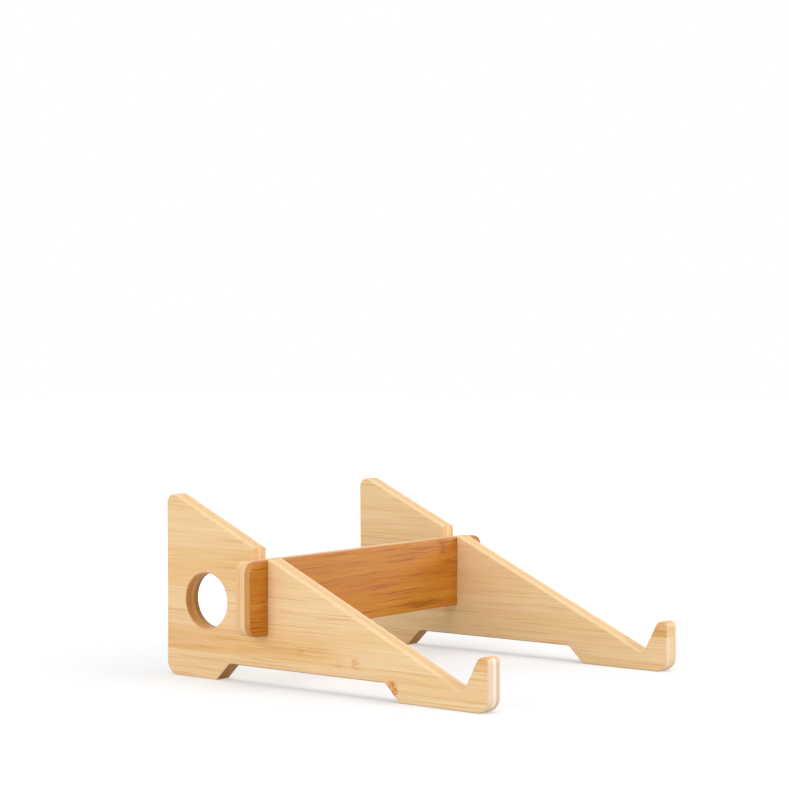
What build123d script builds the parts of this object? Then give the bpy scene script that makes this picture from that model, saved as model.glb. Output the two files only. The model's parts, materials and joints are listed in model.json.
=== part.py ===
"""Slot-together laptop stand: two bamboo side panels held upright by one bamboo cross board.

Every board is three plies glued face to face, and each ply is written as a solid of its own.
The cross board drops into open slots in the panels, with no fastener, and lifts out upwards.

Millimetres. +X is to the right of a person sitting at the stand, +Y is away from them, +Z is up.
The origin is on the desk, midway between the panels and midway between the front and back edges.
"""

import os
from math import radians, tan

from build123d import *

# Boards
ply_thickness = 4.0
edge_round = 1.2  # round along every edge between a board's face and its outline
slot_clearance = 0.15  # gap on each side of a board standing in a slot

# Side panels
stand_depth = 254.0
panel_spacing = 184.0  # clear width between the panels' inner faces
bottom_corner_radius = 8.5  # at both ends of the panel
rear_top_radius = 6.0

# Sloping seat and the hook that stops what lies on it
seat_angle = 24.7  # degrees above level
seat_floor_height = 11.0  # where the seat's line meets the hook's inner edge
seat_corner_radius = 4.5
hook_height = 32.3
hook_tip_width = 7.4
hook_lean = 27.5  # degrees that the inner edge leans forwards from upright
hook_front_radius = 3.0
hook_back_radius = 4.0

# Feet and the raised underside between them
front_foot_length = 64.8
rear_foot_length = 43.0
arch_height = 11.0
arch_slope = 45.0  # degrees above level, at both ends
arch_corner_radius = 5.0
foot_corner_radius = 2.0

# Round cable hole in each panel
cable_hole_diameter = 35.0
cable_hole_from_back = 34.3
cable_hole_height = 49.4

# Cross board
cross_board_from_back = 74.6  # from the board's rear face to the panels' back edge
cross_board_bottom = 31.5
cross_board_below_seat = 1.5  # so that what lies on the seat never touches the board
ear_length = 17.0  # how far each end stands out past its panel
ear_corner_radius = 8.0

# Names of the plies, in the order in which they are stacked
panel_ply_names = ("outer_ply", "core_ply", "inner_ply")
cross_board_ply_names = ("front_ply", "core_ply", "rear_ply")

# Worked out from the sizes above
panel_thickness = len(panel_ply_names) * ply_thickness
cross_board_thickness = len(cross_board_ply_names) * ply_thickness
stand_front = -stand_depth / 2
stand_back = stand_depth / 2
panel_inner_x = -panel_spacing / 2
panel_outer_x = panel_inner_x - panel_thickness
seat_start = hook_tip_width + (hook_height - seat_floor_height) * tan(radians(hook_lean))


def seat_height(from_front):
    """Height of the seat's line at a distance behind the stand's front."""
    return seat_floor_height + (from_front - seat_start) * tan(radians(seat_angle))


cross_board_setback = stand_depth - cross_board_from_back - cross_board_thickness
cross_board_top = seat_height(cross_board_setback) - cross_board_below_seat
cross_board_height = cross_board_top - cross_board_bottom
cross_board_length = panel_spacing + 2 * (panel_thickness + ear_length)
cross_board_y = stand_back - cross_board_from_back - cross_board_thickness / 2
lap_height = cross_board_bottom + cross_board_height / 2  # panels and board are each cut half way


def panel_outline():
    """Side view of a panel: one rounded corner after another, from the front foot round to the hook."""
    arch_run = arch_height / tan(radians(arch_slope))
    rear_foot_start = stand_depth - rear_foot_length
    corners = (
        (0, 0, bottom_corner_radius),
        (front_foot_length, 0, foot_corner_radius),
        (front_foot_length + arch_run, arch_height, arch_corner_radius),
        (rear_foot_start - arch_run, arch_height, arch_corner_radius),
        (rear_foot_start, 0, foot_corner_radius),
        (stand_depth, 0, bottom_corner_radius),
        (stand_depth, seat_height(stand_depth), rear_top_radius),
        (seat_start, seat_floor_height, seat_corner_radius),
        (hook_tip_width, hook_height, hook_back_radius),
        (0, hook_height, hook_front_radius),
    )
    points = [(stand_front + from_front, height) for from_front, height, _ in corners]
    radii = [radius for _, _, radius in corners]
    return FilletPolyline(*points, radius=radii, close=True)


def round_face_edges(board, axis):
    """Round every edge of the two flat faces that look along an axis."""
    return fillet(board.faces().filter_by(axis).edges(), edge_round)


def left_panel():
    """Left side panel: outline and cable hole with rounded edges, then the open slot."""
    hole_y = stand_back - cable_hole_from_back
    side_view = make_face(panel_outline())
    side_view -= Pos(hole_y, cable_hole_height) * Circle(cable_hole_diameter / 2)
    panel = extrude(Plane.YZ.offset(panel_outer_x) * side_view, panel_thickness)
    panel = round_face_edges(panel, Axis.X)

    slot_width = cross_board_thickness + 2 * slot_clearance
    slot_reach = seat_height(stand_depth) - lap_height  # cuts well clear of the sloping seat
    slot = Box(
        2 * panel_thickness,
        slot_width,
        slot_reach,
        align=(Align.CENTER, Align.CENTER, Align.MIN),
    )
    panel_centre_x = (panel_outer_x + panel_inner_x) / 2
    return panel - Pos(panel_centre_x, cross_board_y, lap_height) * slot


def cross_board():
    """Cross board: a rounded plank with one notch from below over each panel."""
    front_view = RectangleRounded(cross_board_length, cross_board_height, ear_corner_radius)
    board = extrude(Plane.XZ * front_view, cross_board_thickness / 2, both=True)
    board = round_face_edges(board, Axis.Y)
    board = Pos(0, cross_board_y, cross_board_bottom + cross_board_height / 2) * board

    notch = Box(
        panel_thickness + 2 * slot_clearance,
        2 * cross_board_thickness,
        lap_height - cross_board_bottom,
        align=(Align.CENTER, Align.CENTER, Align.MAX),
    )
    panel_centre_x = (panel_outer_x + panel_inner_x) / 2
    for notch_x in (panel_centre_x, -panel_centre_x):
        board -= Pos(notch_x, cross_board_y, lap_height) * notch
    return board


def plies(board, ply_names, first_face, normal):
    """Cut a board into its plies, from the plane through first_face and along normal."""
    slab_width = 4 * max(stand_depth, cross_board_length)
    slab = Box(
        slab_width,
        slab_width,
        ply_thickness,
        align=(Align.CENTER, Align.CENTER, Align.MIN),
    )
    stack = Plane(origin=first_face, z_dir=normal)
    cut = {}
    for layer, ply_name in enumerate(ply_names):
        cut[ply_name] = board & stack.offset(layer * ply_thickness) * slab
    return cut


def main():
    os.makedirs("parts", exist_ok=True)
    nodes = {}
    left_plies = plies(left_panel(), panel_ply_names, (panel_outer_x, 0, 0), (1, 0, 0))
    for ply_name, ply in left_plies.items():
        nodes["left_panel_" + ply_name] = ply
        nodes["right_panel_" + ply_name] = mirror(ply, about=Plane.YZ)

    board_front_y = cross_board_y - cross_board_thickness / 2
    board_plies = plies(cross_board(), cross_board_ply_names, (0, board_front_y, 0), (0, 1, 0))
    for ply_name, ply in board_plies.items():
        nodes["cross_board_" + ply_name] = ply

    for node, solid in nodes.items():
        export_step(solid, f"parts/{node}.step")


main()
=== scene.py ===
"""Looks of the slot-together stand: bamboo plies, a white studio floor, soft lights and the camera.

Metres, in the part's own frame. The wood's pattern is worked out in millimetres.
"""

import json
from math import radians

import bpy
from mathutils import Matrix, Vector


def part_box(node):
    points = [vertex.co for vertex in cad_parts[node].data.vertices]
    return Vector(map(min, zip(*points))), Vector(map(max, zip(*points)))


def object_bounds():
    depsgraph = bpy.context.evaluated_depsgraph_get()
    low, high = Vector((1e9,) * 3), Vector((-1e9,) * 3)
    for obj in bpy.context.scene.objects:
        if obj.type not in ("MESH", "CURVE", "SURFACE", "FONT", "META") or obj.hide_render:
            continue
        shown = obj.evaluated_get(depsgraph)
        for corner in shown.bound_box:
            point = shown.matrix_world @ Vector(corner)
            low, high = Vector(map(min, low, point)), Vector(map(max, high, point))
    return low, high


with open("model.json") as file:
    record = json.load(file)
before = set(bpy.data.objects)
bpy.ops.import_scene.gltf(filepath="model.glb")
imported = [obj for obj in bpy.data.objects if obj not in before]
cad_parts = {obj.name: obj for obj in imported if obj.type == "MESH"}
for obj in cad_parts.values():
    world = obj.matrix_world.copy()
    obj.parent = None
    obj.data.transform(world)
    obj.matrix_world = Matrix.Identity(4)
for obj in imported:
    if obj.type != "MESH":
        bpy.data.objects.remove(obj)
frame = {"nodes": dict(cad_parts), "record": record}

cad_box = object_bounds()

# Camera
camera_place = (-1.08719, -0.83443, 0.21186)
camera_heading = -51.76  # degrees about Z, from looking along +Y
camera_tilt = 88.479  # degrees up from looking straight down
camera_roll = -0.184
camera_lens = 96.05  # mm on the 36 mm that Blender gives the picture's longer side

# Light, set so that a colour renders about as it is written
ambient_light = 0.36
SOFTBOXES = (
    # name, place, size, watts
    ("top_softbox", (0.0, -0.05, 1.25), 1.1, 6.2),
    ("left_softbox", (-2.00, 0.10, 0.50), 1.4, 24.0),
    ("front_softbox", (0.05, -1.40, 0.60), 0.8, 7.0),
    ("right_softbox", (1.10, -0.87, 0.33), 0.6, 6.5),
    ("rear_softbox", (0.55, 1.30, 0.80), 1.0, 4.0),
)
light_target = (0.0, 0.0, 0.05)
WHITE = (1.0, 1.0, 1.0, 1.0)

# Floor
floor_reach = 6.0
floor_colour = (0.655, 0.675, 0.70, 1.0)
floor_top_up = 0.34  # what the camera sees near the stand, besides the light that falls on the floor
floor_fade = (0.18, 0.7)  # distances from the stand's middle between which the floor turns all white


def linear(red, green, blue):
    """Linear colour of an sRGB colour from 0 to 255."""
    channels = []
    for channel in (red, green, blue):
        share = channel / 255
        channels.append(share / 12.92 if share <= 0.04045 else ((share + 0.055) / 1.055) ** 2.4)
    return (*channels, 1.0)


class Tree:
    """A node tree written as steps. Each step adds its nodes and returns the socket that they give."""

    def __init__(self, node_tree):
        self.nodes = node_tree.nodes
        self.links = node_tree.links
        self.nodes.clear()

    def put(self, socket, value):
        if isinstance(value, bpy.types.NodeSocket):
            self.links.new(value, socket)
        else:
            socket.default_value = value

    def add(self, kind, inputs, output=0, **settings):
        node = self.nodes.new(kind)
        for name, value in settings.items():
            setattr(node, name, value)
        for name, value in inputs.items():
            self.put(node.inputs[name], value)
        return node.outputs[output]

    def math(self, operation, *values):
        return self.add("ShaderNodeMath", dict(enumerate(values)), operation=operation)

    def product(self, first, *others):
        for other in others:
            first = self.math("MULTIPLY", first, other)
        return first

    def vector(self, x, y, z):
        return self.add("ShaderNodeCombineXYZ", {"X": x, "Y": y, "Z": z})

    def split(self, vector):
        """The X, Y and Z of a vector."""
        node = self.nodes.new("ShaderNodeSeparateXYZ")
        self.put(node.inputs["Vector"], vector)
        return node.outputs

    def length(self, vector):
        return self.add("ShaderNodeVectorMath", {0: vector}, "Value", operation="LENGTH")

    def noise(self, place, detail):
        """Smooth noise from 0 to 1, with features about one unit long."""
        inputs = {"Vector": place, "Scale": 1.0, "Detail": detail, "Roughness": 0.55}
        return self.add("ShaderNodeTexNoise", inputs, "Fac")

    def random(self, number):
        """A steady random value from 0 to 1 for each number."""
        return self.add("ShaderNodeTexWhiteNoise", {"W": number}, "Value", noise_dimensions="1D")

    def ease(self, value, start, end):
        """Rises smoothly from 0 to 1 while the value goes from start to end, which may be the lower one."""
        inputs = {"Value": value, "From Min": start, "From Max": end, "To Min": 0.0, "To Max": 1.0}
        return self.add("ShaderNodeMapRange", inputs, interpolation_type="SMOOTHSTEP")

    def mix(self, share, first, second, blend="MIX"):
        """A mix of two colours. Its sockets go by number, because several have the same name."""
        inputs = {0: share, 6: first, 7: second}
        return self.add("ShaderNodeMix", inputs, 2, data_type="RGBA", blend_type=blend)

    def ramp(self, value, stops):
        node = self.nodes.new("ShaderNodeValToRGB")
        elements = node.color_ramp.elements
        while len(elements) < len(stops):
            elements.new(0.5)  # anywhere, because each stop gets its place below
        for element, (position, colour) in zip(elements, stops):
            element.position = position
            element.color = colour
        self.put(node.inputs["Fac"], value)
        return node.outputs["Color"]

    def finish(self, surface, output="ShaderNodeOutputMaterial"):
        self.put(self.nodes.new(output).inputs["Surface"], surface)


# Sizes for the bamboo, in millimetres
per_metre = 1000
hook_front = cad_box[0].y * per_metre
arch_start, arch_end = -62.2, 84.0  # the raised underside between the feet, along Y
arch_centre = (arch_start + arch_end) / 2
arch_half = (arch_end - arch_start) / 2
cable_hole = next(mount for mount in frame["record"]["mounts"] if mount["name"] == "left_cable_hole")
_, hole_y, hole_z = (metres * per_metre for metres in cable_hole["pos_m"])
hole_radius = cable_hole["dims"]["r_mm"]

strip_width = 12.5  # width of the strips that a ply is glued from
strip_offset = 6.8  # of the strips' seams across the ply
strip_jump = 67.0  # of the pattern along the fibres, from one strip to the next
layer_shift = 5  # of the pattern, from one ply to the next
node_spacing = 230.0  # between the culm's nodes along a strip
node_share = 0.3  # of the strips show a node, in a ply without knots of its own
seam_width = 0.16
ragged_reach = 5.0  # how far the outlines of nodes and knots stray
knot_softness = 1.4  # how far a knot's edge is blurred to each side
band_softness = 0.3  # the same upwards from a dark band's lower edge
arch_softness = 0.5  # the same for the painted shade under the arch
waver_reach = 1.8  # how far fibres stray sideways along the board
swirl_reach = 3.0  # the same in a node

# Noise patterns, drawn out along the fibres: length, width and detail
PATTERNS = {
    "ragged": (6, 1.6, 3.0),
    "waver": (90, 14, 2.0),
    "curl": (13, 3.0, 1.0),
    "swirl": (5, 5, 2.0),
    "broad": (170, 8.0, 1.0),
    "streaks": (80, 1.15, 3.0),
    "fine": (30, 0.5, 2.0),
    "clusters": (75, 8.0, 1.0),
    "bundles": (50, 0.9, 1.0),
    "blush": (60, 9.0, 3.0),
    "speckle": (2.6, 1.3, 2.0),
}
noise_mean = 0.5

# Where a look starts and where it is full: first by the noise that draws it
CLUSTERS = (0.36, 0.58)
BUNDLES = (0.46, 0.33)
BLUSH = (0.42, 0.64)
SPECKLE = (0.42, 0.58)
END_DOTS = (0.50, 0.34)
# By the part of the surface's normal that lies along the fibres, along Y or along Z
CUT_ACROSS = (0.45, 0.95)
CUT_SLANTWISE = (0.12, 0.55)
FACING_FRONT = (-0.3, -0.9)
FACING_DOWN = (-0.40, -0.68)
# By the distance from a node, a glue plane, the hooks' front and the cable hole's wall
NODE_BAND = (6.0, 1.0)
NODE_LINE = (0.9, 0.1)
GLUE_LINE = (0.20, 0.05)
FRONT_EDGE = (14, 7)
HOLE_WALL = (0.9, 0.2)
# And by a dark band's shade, where the band shows through the painted highlight on the front edge
BAND_ON_EDGE = (0.1, 0.3)

# Tones of the wood, from 0 for the darkest to 1 for the lightest
middle_tone = 0.49
strip_tones = 0.10  # how far the strips' tones differ
GRAIN_TONES = {"broad": 0.34, "streaks": 0.50, "fine": 0.44}  # how far the tones in each pattern differ
slant_fading = 0.55  # how much fainter the grain is where the surface cuts it slantwise
band_evening = 4.0  # how much more a dark band darkens light streaks than dark ones

# How strongly each look covers the wood below it
COVER = {
    "node": 0.55,
    "blush": 0.36,
    "bundles": 0.42,
    "node_line": 0.60,
    "seam": 0.22,
    "end_dots": 0.30,
    "cut_across": 0.85,
    # The painted highlight on the hooks' front edge
    "front_edge": 0.9,
    "glue": 0.60,
    # The painted shade in the cable hole
    "hole_wall": 0.8,
}
speckle_share = 0.75  # of a node's or a knot's cover is speckled, and the rest is even

# Surface: how rough it is, and the fine relief of its patterns
roughness_base = 0.38
ROUGHNESS = {"streaks": 0.16, "cut_across": 0.10}
RELIEF = {"streaks": 0.5, "fine": 0.5, "bundles": -0.5, "grooves": -1.2, "node_line": 0.6}

GLUE = linear(168, 118, 72)
# Tones of the wood from dark to light, the blush on parts of it, its dark fibres, its nodes, and the colour
# of fibres cut across.
# Then how far its fibres curl from side to side, in millimetres, and how strongly their tones differ.
PALE = {
    "tones": (
        (0.00, linear(206, 146, 72)),
        (0.30, linear(229, 183, 117)),
        (0.55, linear(238, 204, 153)),
        (0.80, linear(242, 214, 170)),
        (1.00, linear(247, 226, 190)),
    ),
    "blush": linear(237, 194, 152),
    "fibre": linear(204, 142, 68),
    "node": linear(204, 132, 46),
    "end": linear(229, 185, 131),
    "curl": 0.5,
    "grain": 1.0,
}
CORE = {**PALE, "end": linear(234, 191, 137)}
# The cross board's front ply: darker wood, as its ends show, with its tones set darker still as painted shade
AMBER = {
    "tones": (
        (0.00, linear(156, 80, 6)),
        (0.30, linear(183, 107, 14)),
        (0.55, linear(197, 125, 26)),
        (0.80, linear(208, 141, 44)),
        (1.00, linear(222, 164, 74)),
    ),
    "blush": linear(190, 98, 26),
    "fibre": linear(146, 72, 4),
    "node": linear(150, 84, 16),
    "end": linear(205, 147, 82),
    "curl": 2.4,
    "grain": 1.5,
}
# Painted shade in the cable holes and on the downward faces of the arches between the feet. These multiply
# the wood's colour.
PAINTED_HOLE_SHADE = linear(236, 200, 120)
PAINTED_DEEP_SHADE = linear(192, 155, 56)

# The boards. Each one says:
# - order, stacked_on: its plies from low to high, along the axis that they are stacked on
# - long_axis: the axis of the fibres in the plies on its two faces; those in the core are upright
# - shift: how far its pattern is moved, so that no two boards look alike
# - palettes: those of the plies that are neither PALE nor CORE
# - core_tone: how much lighter the core is
# - dark_bands: darker stretches, crisp at their lower edge, that fade upwards over their reach, and along Y
#   from full to faded
# - front_edge: the colours of the painted highlight on the hook's front edge, which faces the front lamps
# - bands_on_front_edge: how far a dark band shows through that painted highlight
# - knots: speckled patches in place of the nodes, each as Y, Z, radius and strength
PLAIN = {"palettes": {}, "dark_bands": {}, "front_edge": {}, "bands_on_front_edge": 0.0, "knots": {}}
PANEL = {**PLAIN, "stacked_on": "X", "long_axis": "Y", "core_tone": 0.06}
HOOK = {"reach": 40.0, "faded": -102.0, "full": -105.0, "strength": 0.36}
BOARDS = {
    "left_panel": {
        **PANEL,
        "order": ("outer_ply", "core_ply", "inner_ply"),
        "shift": 11.0,
        "dark_bands": {
            "outer_ply": (
                {"edge": 23.8, **HOOK},
                {"edge": 17.0, "reach": 20.0, "faded": -55.0, "full": 10.0, "strength": 0.25},
                {"edge": 18.2, "reach": 8.0, "faded": 70.0, "full": 105.0, "strength": 0.13},
                {"edge": 57.0, "reach": 36.0, "faded": 20.0, "full": 60.0, "strength": 0.19},
            ),
        },
        "front_edge": {
            "outer_ply": linear(240, 210, 178),
            "core_ply": linear(247, 229, 208),
            "inner_ply": linear(224, 195, 162),
        },
        "knots": {
            "outer_ply": (
                (-56.8, 7.6, 4.6, 1.0),
                (-29.0, 19.8, 3.2, 0.42),
                (-16.0, 18.8, 2.4, 0.34),
                (15.0, 24.0, 3.0, 0.34),
            ),
        },
    },
    "right_panel": {
        **PANEL,
        "order": ("inner_ply", "core_ply", "outer_ply"),
        "shift": 47.0,
        "dark_bands": {ply: ({"edge": 22.2, **HOOK},) for ply in ("inner_ply", "core_ply")},
        "front_edge": {
            "inner_ply": linear(240, 210, 178),
            "core_ply": linear(231, 197, 154),
            "outer_ply": linear(230, 198, 158),
        },
        "bands_on_front_edge": 0.75,
    },
    "cross_board": {
        **PLAIN,
        "order": ("front_ply", "core_ply", "rear_ply"),
        "stacked_on": "Y",
        "long_axis": "X",
        "shift": 83.0,
        "palettes": {"front_ply": AMBER},
        "core_tone": -0.12,
    },
}


def grain_space(tree, ply):
    """Where a point lies in its ply, in millimetres, and which way the surface there faces."""
    coordinates = tree.nodes.new("ShaderNodeTexCoord")
    metres = tree.split(coordinates.outputs["Object"])
    normal = tree.split(coordinates.outputs["Normal"])
    place = {axis: tree.product(metres[axis], per_metre) for axis in "XYZ"}
    end_on = tree.math("ABSOLUTE", normal[ply["along"]])
    shift_through = ply["shift"] / 3  # less than along the fibres, because a ply is thin
    return {
        "place": place,
        "along": tree.math("ADD", place[ply["along"]], ply["shift"]),
        "across": place[ply["across"]],
        "through": tree.math("ADD", place[ply["through"]], shift_through),
        "cut_across": tree.ease(end_on, *CUT_ACROSS),
        "cut_slantwise": tree.ease(end_on, *CUT_SLANTWISE),
        "facing_front": tree.ease(normal["Y"], *FACING_FRONT),
        "facing_down": tree.ease(normal["Z"], *FACING_DOWN),
    }


def drawn_out(tree, space, pattern):
    """Noise drawn out along the fibres, so that it shows as streaks on a face and as dots on an end."""
    length, width, detail = PATTERNS[pattern]
    place = tree.vector(
        tree.math("DIVIDE", space["along"], length),
        tree.math("DIVIDE", space["across"], width),
        tree.math("DIVIDE", space["through"], width),
    )
    return tree.noise(place, detail)


def side_distance(tree, space, at_y, at_z):
    """How far a point is from another one in the side view."""
    along = tree.math("SUBTRACT", space["place"]["Y"], at_y)
    up = tree.math("SUBTRACT", space["place"]["Z"], at_z)
    return tree.length(tree.vector(0.0, along, up))


def strips(tree, ply, space):
    """The strips side by side: each one's number, tone and seam."""
    count = tree.math("DIVIDE", tree.math("ADD", space["across"], strip_offset), strip_width)
    number = tree.math("ADD", tree.math("FLOOR", count), ply["shift"])
    from_seam = tree.product(tree.math("PINGPONG", count, 0.5), strip_width)
    return {
        "number": number,
        "tone": tree.random(number),
        "seam": tree.ease(from_seam, seam_width, 0.0),
    }


def node_marks(tree, space, number, ragged):
    """The culm's nodes along the strips: a band of colour, and the thin line in it."""
    # The halves and quarters give a strip random values other than its tone
    start = tree.product(tree.random(tree.math("ADD", number, 0.5)), node_spacing)
    shown = tree.math("LESS_THAN", tree.random(tree.math("ADD", number, 0.25)), node_share)
    along = tree.math("ADD", tree.math("ADD", space["along"], start), ragged)
    from_node = tree.math("PINGPONG", along, node_spacing / 2)
    band = tree.product(tree.ease(from_node, *NODE_BAND), shown, COVER["node"])
    line = tree.product(tree.ease(from_node, *NODE_LINE), shown)
    return band, line


def knot_marks(tree, space, knots, ragged):
    """Patches of a node's colour at places of their own. They have no line."""
    stray = tree.math("SUBTRACT", ragged, ragged_reach / 2)
    patches = 0.0
    for at_y, at_z, radius, strength in knots:
        distance = tree.math("ADD", side_distance(tree, space, at_y, at_z), stray)
        patch = tree.ease(distance, radius + knot_softness, radius - knot_softness)
        patches = tree.math("MAXIMUM", patches, tree.product(patch, strength))
    return patches, 0.0


def glue_lines(tree, ply, space):
    """Thin lines where the ply is glued to the next one."""
    lines = 0.0
    for plane in ply["glue_planes"]:
        distance = tree.math("ABSOLUTE", tree.math("SUBTRACT", space["place"][ply["through"]], plane))
        lines = tree.math("MAXIMUM", lines, tree.ease(distance, *GLUE_LINE))
    return lines


def stray_fibres(tree, space, strip, curl_reach, node_band):
    """The same space for fibres that waver, curl, swirl at the nodes and start anew in each strip."""
    waver = tree.product(drawn_out(tree, space, "waver"), waver_reach)
    curl = tree.product(drawn_out(tree, space, "curl"), curl_reach)
    swirl = tree.product(drawn_out(tree, space, "swirl"), swirl_reach, node_band)
    across = space["across"]
    for sideways in (waver, curl, swirl):
        across = tree.math("ADD", across, sideways)
    along = tree.math("MULTIPLY_ADD", strip["number"], strip_jump, space["along"])
    return {**space, "along": along, "across": across}


def dark_bands(tree, ply, space, streaks):
    """Darker stretches of the wood: crisp at the strip's lower edge, and fading upwards and along."""
    shade = 0.0
    height = space["place"]["Z"]
    for band in ply["dark_bands"]:
        above = tree.ease(height, band["edge"], band["edge"] + band_softness)
        below = tree.ease(height, band["edge"] + band["reach"], band["edge"] + band["reach"] / 2)
        along = tree.ease(space["place"]["Y"], band["faded"], band["full"])
        # On average this is the band's own strength
        rise = band_evening * band["strength"]
        strength = tree.math("MULTIPLY_ADD", streaks, rise, band["strength"] - rise * noise_mean)
        shade = tree.math("ADD", shade, tree.product(above, below, along, strength))
    return shade


def painted_front_highlight(tree, ply, space, dark):
    """Where the hooks' front edge gets a painted highlight, and how far a dark band stays visible in it."""
    at_front = tree.ease(space["place"]["Y"], *(hook_front + distance for distance in FRONT_EDGE))
    kept_dark = tree.ease(dark, *BAND_ON_EDGE)
    highlight_share = tree.math("MULTIPLY_ADD", kept_dark, -ply["bands_on_front_edge"], COVER["front_edge"])
    return tree.product(at_front, space["facing_front"], highlight_share)


def painted_cut_shade(tree, space):
    """Painted shade on a panel: in the cable hole's wall, and on the arch's slopes and underside where they
    face down.
    """
    distance = side_distance(tree, space, hole_y, hole_z)
    hole = tree.ease(distance, *(hole_radius + past_wall for past_wall in HOLE_WALL))
    from_centre = tree.math("ABSOLUTE", tree.math("SUBTRACT", space["place"]["Y"], arch_centre))
    arch = tree.ease(from_centre, arch_half + arch_softness, arch_half - arch_softness)
    return tree.product(hole, COVER["hole_wall"]), tree.product(arch, space["facing_down"])


def wood_colour(tree, ply, space, looks, dark):
    """Colour of the wood: its tones, then what covers them, from the broad blush to the glue, with a painted
    highlight on the hooks' front edge and painted shade in the cable hole and under the arch.
    """
    palette = ply["palette"]
    grain = palette["grain"]
    contrast = tree.math("MULTIPLY_ADD", space["cut_slantwise"], -slant_fading * grain, grain)
    tone = tree.math("MULTIPLY_ADD", looks["tone"], strip_tones, middle_tone + ply["tone"])
    tone = tree.math("SUBTRACT", tone, dark)
    for pattern, amount in GRAIN_TONES.items():
        difference = tree.product(tree.math("SUBTRACT", looks[pattern], noise_mean), amount)
        tone = tree.math("MULTIPLY_ADD", difference, contrast, tone)
    colour = tree.ramp(tone, palette["tones"])

    blush = tree.ease(drawn_out(tree, space, "blush"), *BLUSH)
    speckle = tree.ease(drawn_out(tree, space, "speckle"), *SPECKLE)
    speckle = tree.math("MULTIPLY_ADD", speckle, speckle_share, 1 - speckle_share)
    end_dots = tree.product(tree.ease(looks["fine"], *END_DOTS), COVER["end_dots"])
    end = tree.mix(end_dots, palette["end"], palette["fibre"])
    covers = (
        (tree.product(blush, COVER["blush"]), palette["blush"]),
        (tree.product(looks["bundles"], COVER["bundles"], contrast), palette["fibre"]),
        (tree.product(looks["node_band"], speckle), palette["node"]),
        (tree.product(looks["node_line"], COVER["node_line"]), palette["fibre"]),
        (tree.product(looks["seam"], COVER["seam"]), palette["fibre"]),
        (tree.product(space["cut_across"], COVER["cut_across"]), end),
    )
    for share, cover in covers:
        colour = tree.mix(share, colour, cover)
    # Painted highlight on the hooks' front edge, where it faces the front lamps
    if ply["front_edge"]:
        colour = tree.mix(painted_front_highlight(tree, ply, space, dark), colour, ply["front_edge"])
    colour = tree.mix(tree.product(looks["glue"], COVER["glue"]), colour, GLUE)
    if ply["through"] == "X":  # only the panels have a cable hole and an arch
        # Painted shade: darker in the cable hole's wall and under the arch
        hole, arch = painted_cut_shade(tree, space)
        colour = tree.mix(hole, colour, ply["hole_browning"], "MULTIPLY")
        colour = tree.mix(arch, colour, PAINTED_DEEP_SHADE, "MULTIPLY")
    return colour


def bamboo(name, ply):
    """Bamboo as a solid pattern of fibres, which every face of the ply cuts through.

    ply["along"], ply["across"] and ply["through"] name the axes: the fibres', the strips' and the one that
    the plies are stacked on. ply["shift"] moves the pattern, so that no two plies look alike.
    """
    material = bpy.data.materials.new(name)
    material.use_nodes = True
    tree = Tree(material.node_tree)
    space = grain_space(tree, ply)
    strip = strips(tree, ply, space)
    ragged = tree.product(drawn_out(tree, space, "ragged"), ragged_reach)
    if ply["knots"]:
        node_band, node_line = knot_marks(tree, space, ply["knots"], ragged)
    else:
        node_band, node_line = node_marks(tree, space, strip["number"], ragged)

    space = stray_fibres(tree, space, strip, ply["palette"]["curl"], node_band)
    glue = glue_lines(tree, ply, space)
    clusters = tree.ease(drawn_out(tree, space, "clusters"), *CLUSTERS)
    bundles = tree.ease(drawn_out(tree, space, "bundles"), *BUNDLES)
    looks = {
        **strip,
        **{pattern: drawn_out(tree, space, pattern) for pattern in GRAIN_TONES},
        "bundles": tree.product(bundles, clusters),
        "node_band": node_band,
        "node_line": node_line,
        "glue": glue,
        "grooves": tree.math("MAXIMUM", strip["seam"], glue),
        "cut_across": space["cut_across"],
    }
    dark = dark_bands(tree, ply, space, looks["streaks"])
    roughness = roughness_base
    for look, amount in ROUGHNESS.items():
        roughness = tree.math("MULTIPLY_ADD", looks[look], amount, roughness)
    height = 0.0
    for look, relief in RELIEF.items():
        height = tree.math("MULTIPLY_ADD", looks[look], relief, height)
    bump = tree.add("ShaderNodeBump", {"Strength": 0.35, "Distance": 0.00012, "Height": height})

    shader = tree.add(
        "ShaderNodeBsdfPrincipled",
        {
            "Base Color": wood_colour(tree, ply, space, looks, dark),
            "Roughness": roughness,
            "Specular IOR Level": 0.30,
            "Coat Weight": 0.12,
            "Coat Roughness": 0.26,
            "Normal": bump,
        },
    )
    tree.finish(shader)
    return material


def glue_planes(node, axis, layer, layers):
    """Where a ply's glued faces lie along the axis that the plies are stacked on, in millimetres."""
    low, high = (corner["XYZ".index(axis)] * per_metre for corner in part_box(node))
    planes = []
    if layer > 0:
        planes.append(low)
    if layer < layers - 1:
        planes.append(high)
    return planes


def dress_boards():
    """Give every ply its own cut of bamboo, with its glue where its neighbours in the board meet it."""
    for name, board in BOARDS.items():
        for layer, ply_name in enumerate(board["order"]):
            node = f"{name}_{ply_name}"
            core = ply_name == "core_ply"
            ply = {
                "along": "Z" if core else board["long_axis"],
                "across": board["long_axis"] if core else "Z",
                "through": board["stacked_on"],
                "shift": board["shift"] + layer_shift * layer,
                "glue_planes": glue_planes(node, board["stacked_on"], layer, len(board["order"])),
                "palette": board["palettes"].get(ply_name, CORE if core else PALE),
                "tone": board["core_tone"] if core else 0.0,
                "dark_bands": board["dark_bands"].get(ply_name, ()),
                "front_edge": board["front_edge"].get(ply_name),
                "bands_on_front_edge": board["bands_on_front_edge"],
                # Colour of the painted shade in the cable hole, deeper on the inner ply
                "hole_browning": PAINTED_DEEP_SHADE if ply_name == "inner_ply" else PAINTED_HOLE_SHADE,
                "knots": board["knots"].get(ply_name, ()),
            }
            frame["nodes"][node].material_slots[0].material = bamboo(node, ply)


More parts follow.
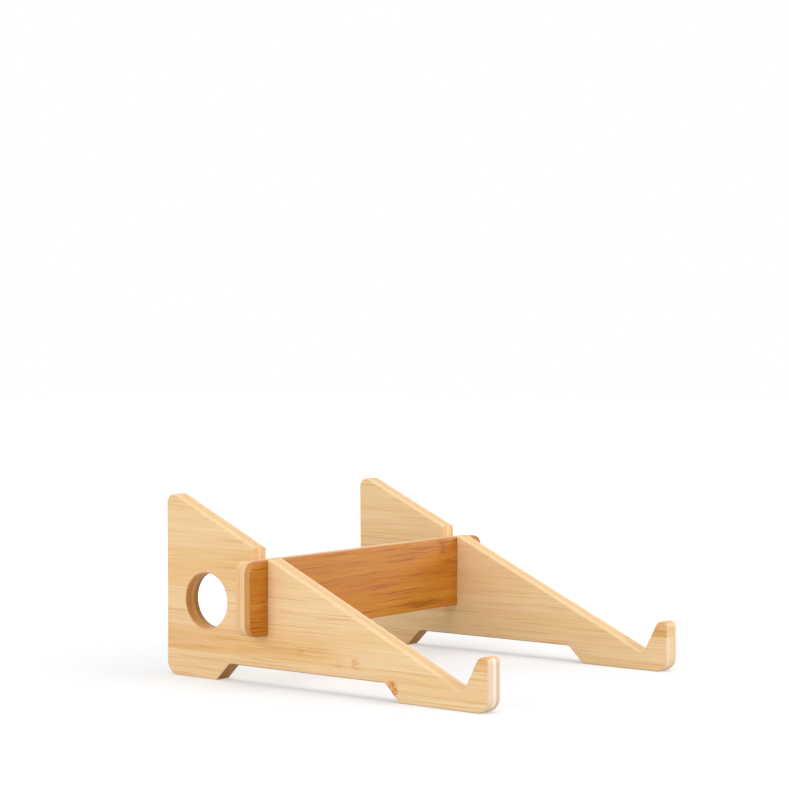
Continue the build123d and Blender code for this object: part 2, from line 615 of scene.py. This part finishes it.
def seen_directly(tree):
    """1 for what the camera, a mirror or glass shows, and 0 for light on its way to a surface."""
    path = tree.nodes.new("ShaderNodeLightPath")
    seen = path.outputs["Is Camera Ray"]
    for kind in ("Is Glossy Ray", "Is Transmission Ray"):
        seen = tree.math("MAXIMUM", seen, path.outputs[kind])
    return seen


def studio_floor():
    """White floor that keeps the shadow: a pale surface in the studio's light, topped up to white."""
    mesh = bpy.data.meshes.new("studio_floor")
    corners = [(x * floor_reach, y * floor_reach, 0) for x, y in ((-1, -1), (1, -1), (1, 1), (-1, 1))]
    mesh.from_pydata(corners, [], [(0, 1, 2, 3)])
    floor = bpy.data.objects.new("studio_floor", mesh)
    bpy.context.scene.collection.objects.link(floor)

    material = bpy.data.materials.new("studio_floor")
    material.use_nodes = True
    tree = Tree(material.node_tree)
    place = tree.add("ShaderNodeTexCoord", {}, "Object")
    far = tree.ease(tree.length(place), *floor_fade)
    top_up = tree.math("MULTIPLY_ADD", far, 1 - floor_top_up, floor_top_up)
    glow = tree.add("ShaderNodeEmission", {"Strength": tree.product(seen_directly(tree), top_up)})
    pale = tree.add("ShaderNodeBsdfDiffuse", {"Color": floor_colour})
    tree.finish(tree.add("ShaderNodeAddShader", {0: pale, 1: glow}))
    mesh.materials.append(material)


def studio_world():
    """Even light from all round, and a white background."""
    world = bpy.data.worlds.new("studio")
    world.use_nodes = True
    bpy.context.scene.world = world
    tree = Tree(world.node_tree)
    strength = tree.math("MULTIPLY_ADD", seen_directly(tree), 1 - ambient_light, ambient_light)
    background = tree.add("ShaderNodeBackground", {"Color": WHITE, "Strength": strength})
    tree.finish(background, "ShaderNodeOutputWorld")


def softboxes():
    """Square lamps round the stand, all aimed at it."""
    for name, place, size, watts in SOFTBOXES:
        lamp = bpy.data.lights.new(name, "AREA")
        lamp.shape = "SQUARE"
        lamp.size = size
        lamp.energy = watts
        light = bpy.data.objects.new(name, lamp)
        bpy.context.scene.collection.objects.link(light)
        light.location = place
        aim = Vector(light_target) - Vector(place)
        light.rotation_euler = aim.to_track_quat("-Z", "Y").to_euler()


def photo_camera():
    """Camera at the photograph's viewing angle."""
    data = bpy.data.cameras.new("camera")
    data.lens = camera_lens
    data.clip_start = 0.05
    camera = bpy.data.objects.new("camera", data)
    bpy.context.scene.collection.objects.link(camera)
    turn = (
        Matrix.Rotation(radians(camera_heading), 4, "Z")
        @ Matrix.Rotation(radians(camera_tilt), 4, "X")
        @ Matrix.Rotation(radians(camera_roll), 4, "Z")
    )
    camera.matrix_world = Matrix.Translation(camera_place) @ turn
    bpy.context.scene.camera = camera


dress_boards()
studio_floor()
studio_world()
softboxes()
photo_camera()
bpy.context.scene.view_settings.view_transform = "Standard"
